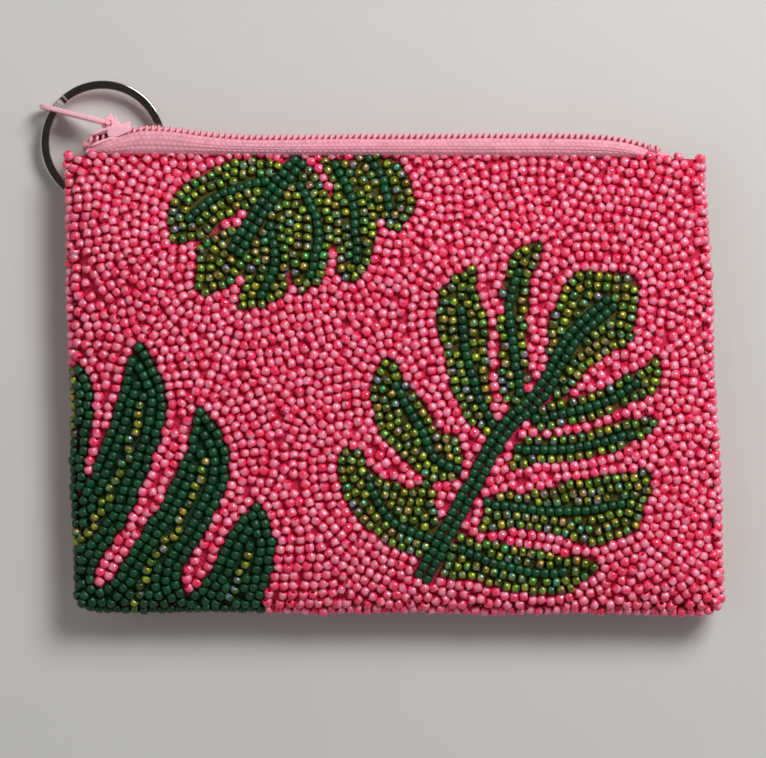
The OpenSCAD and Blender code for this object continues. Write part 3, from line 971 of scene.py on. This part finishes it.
def tape_piece(name, left, right, back):
    """Knitted tape with raised rows of stitches, from its sewn edge out to the coil, painted darker
    in the grooves between stitches.
    """
    section = smooth_line(TAPE_SECTION, 0.17)
    xs = np.linspace(left, right, int((right - left) / 0.2) + 1)
    along = np.concatenate([[0], np.cumsum(np.linalg.norm(np.diff(section, axis=0), axis=1))])
    out = np.gradient(section, axis=0)
    out = unit(np.stack([-out[:, 1], out[:, 0]], 1))
    x, s = np.meshgrid(xs, along, indexing="ij")
    rib = np.floor(s / RIB_PITCH)
    within = s / RIB_PITCH - rib
    stitch = (x / STITCH_PITCH + 0.38 * (rib % 2) + 0.12 * np.sin(x / 3.1 + rib)) % 1
    knit = np.sin(np.pi * within).clip(0) ** 0.7 * np.sin(np.pi * stitch).clip(0) ** 0.6
    knit = knit * (1 - 0.35 * np.exp(-((stitch - 0.5) / 0.09) ** 2))
    relief = 0.16 * knit + 0.08 * np.sin(x / 5.3 + 1.0) * np.sin(s / 3.0)
    y = section[None, :, 0] + relief * out[None, :, 0]
    h = section[None, :, 1] + relief * out[None, :, 1]
    above = smoothstep(49.2, 52.8, section[None, :, 0])
    mouth = np.interp(x, CORNERS[:2, 0], CORNERS[:2, 1]) - CORNERS[0, 1]
    y = y + chain_stray(x) * above + mouth * (1 - above)
    # the tape sinks between the panels towards its ends
    h = h * (1 - 0.55 * smoothstep(49, 57, x) - 0.4 * smoothstep(-61, -65, x))
    points = np.stack([x.ravel(), y.ravel()], 1)
    faces = grid_faces(len(xs), len(along))
    if back:
        faces = faces[:, ::-1]
    obj = new_object(name, to_world(points, h.ravel(), back), faces)
    mottle = rng.normal(0, 0.05, (int(xs[-1] - xs[0]) + 3, int(rib.max()) + 2))
    cell = mottle[((x - xs[0]) / STITCH_PITCH).astype(int), rib.astype(int)]
    # Painted shade: darker in the grooves between the raised stitches; the mottle is each stitch's
    # own tone.
    shade = 0.68 + 0.4 * knit + cell + rng.normal(0, 0.03, relief.shape)
    paint(obj, TAPE_PINK * shade.reshape(-1, 1))
    thick = obj.modifiers.new("thickness", "SOLIDIFY")
    thick.thickness = 0.3 * MM
    thick.offset = -1
    thick.use_rim = False
    return obj


def tube(path, radius, sides, closed=False):
    """Points and faces of a round tube along a path of points."""
    path = np.asarray(path, float)
    towards = unit(np.roll(path, -1, 0) - np.roll(path, 1, 0)) if closed else unit(
        np.gradient(path, axis=0))
    across = unit(np.cross(towards, (0.9, 0.3, 0.2)))
    upward = np.cross(towards, across)
    turn = np.linspace(0, 2 * np.pi, sides, endpoint=False)
    ring = (np.cos(turn)[None, :, None] * across[:, None]
            + np.sin(turn)[None, :, None] * upward[:, None])
    points = path[:, None] + radius * ring
    return points.reshape(-1, 3), grid_faces(len(path), sides, around=True, closed=closed)


def joined(parts):
    """Several sets of points and faces as one."""
    points, faces, count = [], [], 0
    for p, f in parts:
        points.append(p)
        faces.append(f + count)
        count += len(p)
    return np.vstack(points), np.vstack(faces)


def coil_piece(name, left, right, back):
    """A nylon coil: one slanting loop for each tooth, parted beyond the slider."""
    first = math.ceil(left / TOOTH_PITCH)
    last = math.floor((right - 0.01) / TOOTH_PITCH)
    phase = np.linspace(0, 2 * np.pi, 14, endpoint=False)
    parts = []
    for i in range(first, last + 1):
        x = (i + (0.25 if back else -0.25)) * TOOTH_PITCH
        parted = smoothstep(-62.5, -66.5, x) * 1.3
        y = 0.66 * np.cos(phase) * (1 + 0.18 * np.sin(phase))
        h = 1.3 + 1.15 * np.sin(phase) + parted
        lean = 0.3 * np.sin(phase + 0.6)
        middle_y = (CHAIN_Y + 0.35 + 0.7 * smoothstep(-58, -61, x)
                    + chain_stray(np.array([x]))[0] + rng.normal(0, 0.03))
        path = np.stack([x + lean, middle_y + y, h], 1)
        path[:, 2] = MIDDLE - path[:, 2] if back else MIDDLE + path[:, 2]
        parts.append(tube(path, 0.35, 7, closed=True))
    points, faces = joined(parts)
    obj = new_object(name, points, faces)
    paint(obj, np.tile(COIL_PINK, (len(points), 1)))
    return obj


TAPE_PINK = linear(255, 168, 186)
COIL_PINK = linear(240, 160, 174)
TAPE_CLOTH = woven("zipper_tape_cloth", 2300.0, 0.00003, 0.07, Roughness=0.78, Sheen_Weight=0.25)
TAPE_PLAIN = plain("zipper_tape_plain", TAPE_PINK, Roughness=0.78)
NYLON = tinted("coil_nylon", 0.06, 1300.0, Roughness=0.42, Coat_Weight=0.15)
NYLON_PLAIN = plain("coil_plain", COIL_PINK, Roughness=0.42)

for half, back in (("front", False), ("back", True)):
    for side, left, right in (("left", ZIPPER_LEFT, 0.0), ("right", 0.0, ZIPPER_RIGHT)):
        tape = tape_piece(f"zipper_tape_{half}_{side}", left, right, back)
        dress(tape, TAPE_CLOTH, TAPE_PLAIN, f"zipper_tape_{half}")
        coil_left = left + 0.6 if left < 0 else left
        coil_right = right - 1.0 if right > 0 else right
        coil = coil_piece(f"zipper_coil_{half}_{side}", coil_left, coil_right, back)
        dress(coil, NYLON, NYLON_PLAIN, f"zipper_coil_{half}")
        join_to_body(tape, back)
        join_to_body(coil, back)


TACKS = ((-65.7, 3.3), (55.4, 2.6))  # place along x, and half the width across both coils
TACK_PINK = linear(226, 138, 158)


def end_tack(x, y, half_wide):
    """Thread wound several times over both coils."""
    phase = np.linspace(0, 2 * np.pi, 24, endpoint=False)
    parts = []
    for i in range(5):
        path = np.stack([
            x + (i - 2) * 0.3 + 0.1 * np.sin(phase + i),
            y + (0.9 + 0.04 * (i % 2)) * np.sin(phase),
            MIDDLE + (half_wide + rng.normal(0, 0.05)) * np.cos(phase)
        ], 1)
        parts.append(tube(path, 0.16, 6, closed=True))
    return joined(parts)


points, faces = joined([
    end_tack(x, CHAIN_Y + 0.2 + chain_stray(np.array([x]))[0], wide)
    for x, wide in TACKS
])
tacks = new_object("zipper_end_tack_threads", points, faces)
paint(tacks, np.tile(TACK_PINK, (len(points), 1)))
dress(tacks, tinted("tack_thread", 0.15, 3000.0, Roughness=0.7, Sheen_Weight=0.2),
      plain("tack_thread_plain", TACK_PINK, Roughness=0.7), "zipper_end_tacks")
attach(tacks, "back")


# --- slider, pull tab and key ring --------------------------------------------

JOINTS = {j["name"]: j for j in frame["record"]["behaviour"]["joints"]}
PIVOT = np.array(JOINTS["tab_swing"]["pos_m"]) / MM
RING_CENTRE = np.array(JOINTS["ring_turn"]["pos_m"]) / MM
RING_AXIS = unit(np.array(JOINTS["ring_turn"]["axis"], float))
SLIDER_X = PIVOT[0] + 0.3
PIVOT_HEIGHT = 0.8
SLIDER_TOP = PIVOT[1] - PIVOT_HEIGHT
PLATE = 0.6
CHANNEL = 1.7
SLIDER_LENGTH = 9.0
SLIDER_WIDTH = 7.2


def fillet(corners, radius, steps=5):
    """A closed outline with its corners rounded."""
    corners = np.array(corners, float)
    out = []
    for i, corner in enumerate(corners):
        before, after = corners[i - 1] - corner, corners[(i + 1) % len(corners)] - corner
        cut = min(radius, 0.45 * np.linalg.norm(before), 0.45 * np.linalg.norm(after))
        a, b = corner + unit(before) * cut, corner + unit(after) * cut
        for t in np.linspace(0, 1, steps):
            out.append((1 - t) ** 2 * a + 2 * t * (1 - t) * corner + t * t * b)
    return np.array(out)


def disc(x, y, radius, count=32):
    turn = np.linspace(0, 2 * np.pi, count, endpoint=False)
    return np.stack([x + radius * np.cos(turn), y + radius * np.sin(turn)], 1)


def plate(outlines, thickness, edge, turn, place):
    """A flat piece with rounded edges: its outline, then its holes. Returns a mesh in mm."""
    curve = bpy.data.curves.new("outline", "CURVE")
    curve.dimensions = "2D"
    curve.fill_mode = "BOTH"
    curve.extrude = (thickness / 2 - edge)
    curve.bevel_depth = edge
    curve.bevel_resolution = 3
    curve.offset = -edge
    for outline in outlines:
        spline = curve.splines.new("POLY")
        spline.points.add(len(outline) - 1)
        spline.points.foreach_set("co", np.column_stack(
            [outline, np.zeros(len(outline)), np.ones(len(outline))]).astype(np.float32).ravel())
        spline.use_cyclic_u = True
    obj = bpy.data.objects.new("outline", curve)
    mesh = bpy.data.meshes.new_from_object(obj)
    bpy.data.objects.remove(obj)
    mesh.transform(Matrix.Translation(Vector(place)) @ turn.to_4x4())
    return mesh


def one_piece(name, meshes):
    """Joins meshes made in millimetres into one object."""
    made = bmesh.new()
    for mesh in meshes:
        made.from_mesh(mesh)
    bmesh.ops.remove_doubles(made, verts=made.verts, dist=1e-4)
    bmesh.ops.scale(made, vec=(MM, MM, MM), verts=made.verts)
    mesh = bpy.data.meshes.new(name)
    made.to_mesh(mesh)
    made.free()
    for face in mesh.polygons:
        face.use_smooth = True
    obj = placed(name, mesh)
    obj.modifiers.new("flat faces", "WEIGHTED_NORMAL").keep_sharp = True
    return obj


FLAT_ACROSS_Y = Matrix(((1, 0, 0), (0, 0, 1), (0, 1, 0)))  # a drawing's up becomes z
IN_PLANE = Matrix.Identity(3)


def make_slider():
    half, wide = SLIDER_LENGTH / 2, SLIDER_WIDTH / 2
    outline = fillet([
        (-half + 1.2, -wide), (1, -wide), (half, -wide + 0.8), (half + 0.05, 0), (half, wide - 0.8),
        (1, wide), (-half + 1.2, wide), (-half, wide - 1.3), (-half + 0.5, 0), (-half, -wide + 1.3)
    ], 0.9)
    meshes = []
    for y in (SLIDER_TOP - PLATE / 2, SLIDER_TOP - 1.5 * PLATE - CHANNEL):
        meshes.append(plate([outline], PLATE, 0.2, FLAT_ACROSS_Y, (SLIDER_X, y, MIDDLE)))
    wall = fillet([(-0.3, 0.05), (-0.35, -1.6), (0.1, -2.35), (1.6, -2.4), (3.2, -1.8), (4.7, -1.1),
                   (4.7, 0.05)], 0.4)
    for side in (-1, 1):
        z = MIDDLE + side * (wide - 0.25)
        meshes.append(plate([wall], 0.6, 0.2, IN_PLANE, (SLIDER_X, SLIDER_TOP, z)))
    post = disc(SLIDER_X - half + 1.5, MIDDLE, 0.8, 24)
    meshes.append(plate([post], CHANNEL + 0.2, 0.05, FLAT_ACROSS_Y,
                        (0, SLIDER_TOP - PLATE - CHANNEL / 2, 0)))
    for mesh in meshes:
        for vertex in mesh.vertices:
            vertex.co.y -= 1.7 * float(smoothstep(-1.0, 5.0, SLIDER_X - vertex.co.x))
    body = one_piece("slider_body_enamel", meshes)
    # Two fins hold the tab's bar; the lip at the nose is as wide as both.
    near = fillet([(-1.75, -0.3), (-1.6, 1.1), (-0.9, 2.0), (0.25, 3.1), (0.7, 1.7), (1.6, 0.9),
                   (1.7, -0.3)], 0.3)
    far = fillet([(-1.75, -0.3), (-1.6, 1.1), (-0.2, 1.9), (1.2, 2.6), (1.6, 1.4), (2.2, 0.8),
                  (2.3, -0.3)], 0.3)
    lip = fillet([(0.9, -0.3), (1.1, 0.9), (2.6, 0.6), (4.1, 1.2), (4.5, 0.95), (4.45, -0.3)], 0.3)
    window = fillet([(-0.95, 0.1), (0.36, 0.1), (0.36, 1.45), (-0.95, 1.45)], 0.35)[::-1]
    bridge = one_piece("slider_bridge_enamel", [
        plate([near, window], 0.55, 0.14, IN_PLANE, (SLIDER_X, SLIDER_TOP, MIDDLE + 0.62)),
        plate([far, window], 0.55, 0.14, IN_PLANE, (SLIDER_X, SLIDER_TOP, MIDDLE - 0.62)),
        plate([lip], 1.8, 0.2, IN_PLANE, (SLIDER_X, SLIDER_TOP, MIDDLE))])
    return body, bridge


TAB_LENGTH = 16.5
TAB_TIP = 3.2  # radius of the round end
TAB_HALF_WIDTH = 2.4  # at the bar
TAB_ANGLE = 165  # degrees from +X, in the slider's plane
TAB_DROOP = 18  # degrees out of that plane
HOLE_RADIUS = 1.9


def make_tab():
    centre = TAB_LENGTH - TAB_TIP
    outline = [(0.15, -TAB_HALF_WIDTH), (centre - 0.6, -TAB_TIP)]
    for turn in np.radians(np.linspace(-80, 80, 21)):
        outline.append((centre + TAB_TIP * math.cos(turn), TAB_TIP * math.sin(turn)))
    outline += [(centre - 0.6, TAB_TIP), (0.15, TAB_HALF_WIDTH)]
    slot = fillet([(0.5, -1.85), (3.9, -1.85), (3.9, 1.85), (0.5, 1.85)], 0.7)
    hole = disc(TAB_LENGTH - 3.4, 0, HOLE_RADIUS)
    swing = Matrix.Rotation(math.radians(TAB_ANGLE), 3, "Z")
    lean = Matrix.Rotation(math.radians(TAB_DROOP), 3, "Y")
    face = plate([np.array(outline), slot[::-1], hole[::-1]], 1.0, 0.28,
                 swing @ lean @ FLAT_ACROSS_Y, PIVOT)
    bar = plate([disc(0, 0, 0.5, 20)], 4.8, 0.15, IN_PLANE, PIVOT)
    return one_piece("pull_tab_enamel", [face, bar])


RING_DIAMETER = 27
WIRE_WIDTH = 1.9
RING_MEAN = (RING_DIAMETER - WIRE_WIDTH) / 2
RING_HALF_WIDE = WIRE_WIDTH / 2
RING_HALF_THICK = 0.39
RING_STEP = 0.405  # from the ring's middle plane to the middle of each turn
SPLIT_ANGLE = 153.0  # where the two ends are, in degrees from +X


def make_ring():
    """Two turns of flat spring wire that cross over between their ends."""
    towards = math.radians(SPLIT_ANGLE)
    u = np.array([math.cos(towards), math.sin(towards), 0])
    u = unit(u - RING_AXIS * (u @ RING_AXIS))
    v = -np.cross(RING_AXIS, u)
    w, t = RING_HALF_WIDE, RING_HALF_THICK
    section = fillet([(-w, -t), (w, -t), (w, t), (-w, t)], 0.24, 4)
    turns = np.radians(np.linspace(22, 716, 348))
    angle = np.degrees(turns)
    level = RING_STEP * (1 - 2 * np.clip((angle - 367.5) / 13.5, 0, 1))
    out = np.cos(turns)[:, None] * u + np.sin(turns)[:, None] * v
    points = (RING_CENTRE + (RING_MEAN + section[None, :, :1]) * out[:, None]
              + (level[:, None, None] + section[None, :, 1:]) * RING_AXIS)
    count = len(section)
    points = points.reshape(-1, 3)
    faces = [tuple(f) for f in grid_faces(len(turns), count, around=True)]
    faces.append(tuple(range(count - 1, -1, -1)))
    faces.append(tuple(range(len(points) - count, len(points))))
    mesh = bpy.data.meshes.new("ring")
    mesh.from_pydata(points.tolist(), [], faces)
    return one_piece("split_key_ring", [mesh])


def enamel(name, colour):
    """Sprayed paint on die-cast zinc: faintly orange-peeled, its tone and gloss a little uneven."""
    m = Nodes(name, Coat_Weight=0.35, Coat_Roughness=0.22)
    worn = m.noise(500.0, 4.0)
    m.colour(m.mix(worn, tuple(colour * 0.86), tuple(colour * 1.1)))
    m.roughness(m.ramp(m.noise(900.0, 3.0), 0.26, 0.44))
    m.bump(m.noise(1600.0, 2.0), 0.00002, 0.5)
    return m.material


def spring_steel():
    """Nickel-plated spring steel, drawn along the wire, with fine scratches."""
    m = Nodes("ring_nickel", Metallic=1.0)
    scratched = m.noise(1400.0, 5.0, 0.7)
    m.colour(m.mix(m.noise(160.0, 3.0), (0.55, 0.47, 0.42), (0.76, 0.68, 0.62)))
    m.roughness(m.ramp(scratched, 0.07, 0.2))
    m.bump(scratched, 0.00001, 0.4)
    return m.material


ENAMEL_PINK = linear(255, 190, 203)
ENAMEL = enamel("pink_enamel", ENAMEL_PINK)
ENAMEL_PLAIN = plain("pink_enamel_plain", ENAMEL_PINK, Roughness=0.35)
STEEL = spring_steel()
STEEL_PLAIN = plain("ring_nickel_plain", (0.65, 0.58, 0.53), Metallic=1.0, Roughness=0.14)

slider_body, slider_bridge = make_slider()
for piece, node, body in ((slider_body, "slider_body", "slider"),
                          (slider_bridge, "slider_bridge", "slider"),
                          (make_tab(), "pull_tab", "tab")):
    dress(piece, ENAMEL, ENAMEL_PLAIN, node)
    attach(piece, body)
ring = make_ring()
dress(ring, STEEL, STEEL_PLAIN, "key_ring")
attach(ring, "ring")


# --- floor, lights and camera -------------------------------------------------

floor = new_object("floor", [(-900, -900, 0), (900, -900, 0), (900, 900, 0), (-900, 900, 0)],
                   [(0, 1, 2, 3)], smooth=False)
paper = Nodes("pale_paper", Roughness=0.9)
paper.colour(paper.mix(paper.noise(60.0, 3.0), linear(206, 205, 202), linear(210, 209, 206)))
floor.data.materials.append(paper.material)

# The room is dark straight overhead, where the photographer leans in, and pale lower down.
world = bpy.data.worlds.new("studio")
bpy.context.scene.world = world
world.use_nodes = True
sky = world.node_tree
background = sky.nodes["Background"]
background.inputs["Color"].default_value = (0.97, 0.98, 1.0, 1)
facing_up = sky.nodes.new("ShaderNodeSeparateXYZ")
sky.links.new(sky.nodes.new("ShaderNodeTexCoord").outputs["Generated"], facing_up.inputs[0])
overhead = sky.nodes.new("ShaderNodeMapRange")
overhead.interpolation_type = "SMOOTHSTEP"
for socket, value in (("From Min", 0.72), ("From Max", 0.91), ("To Min", 0.31), ("To Max", 0.03)):
    overhead.inputs[socket].default_value = value
sky.links.new(facing_up.outputs["Z"], overhead.inputs["Value"])
sky.links.new(overhead.outputs[0], background.inputs["Strength"])


def area_light(name, place, size, power, colour=(1, 1, 1)):
    """A soft light at a place in metres, facing the purse."""
    data = bpy.data.lights.new(name, "AREA")
    data.shape = "RECTANGLE"
    data.size, data.size_y = size
    data.energy = power
    data.color = colour
    obj = placed(name, data)
    obj.location = place
    obj.rotation_euler = (-Vector(place)).to_track_quat("-Z", "Y").to_euler()


area_light("key", (0.29, 0.38, 0.50), (0.30, 0.30), 4.25, (1.0, 0.99, 0.975))
area_light("fill", (-0.6, -0.1, 0.7), (0.8, 0.8), 0.8, (0.97, 0.98, 1.0))

camera_data = bpy.data.cameras.new("camera")
camera_data.sensor_width = 36
camera_data.lens = 150
camera = placed("camera", camera_data)
camera.location = (-0.0022, 0.0010, 0.694)
bpy.context.scene.camera = camera
bpy.context.scene.view_settings.view_transform = "Standard"
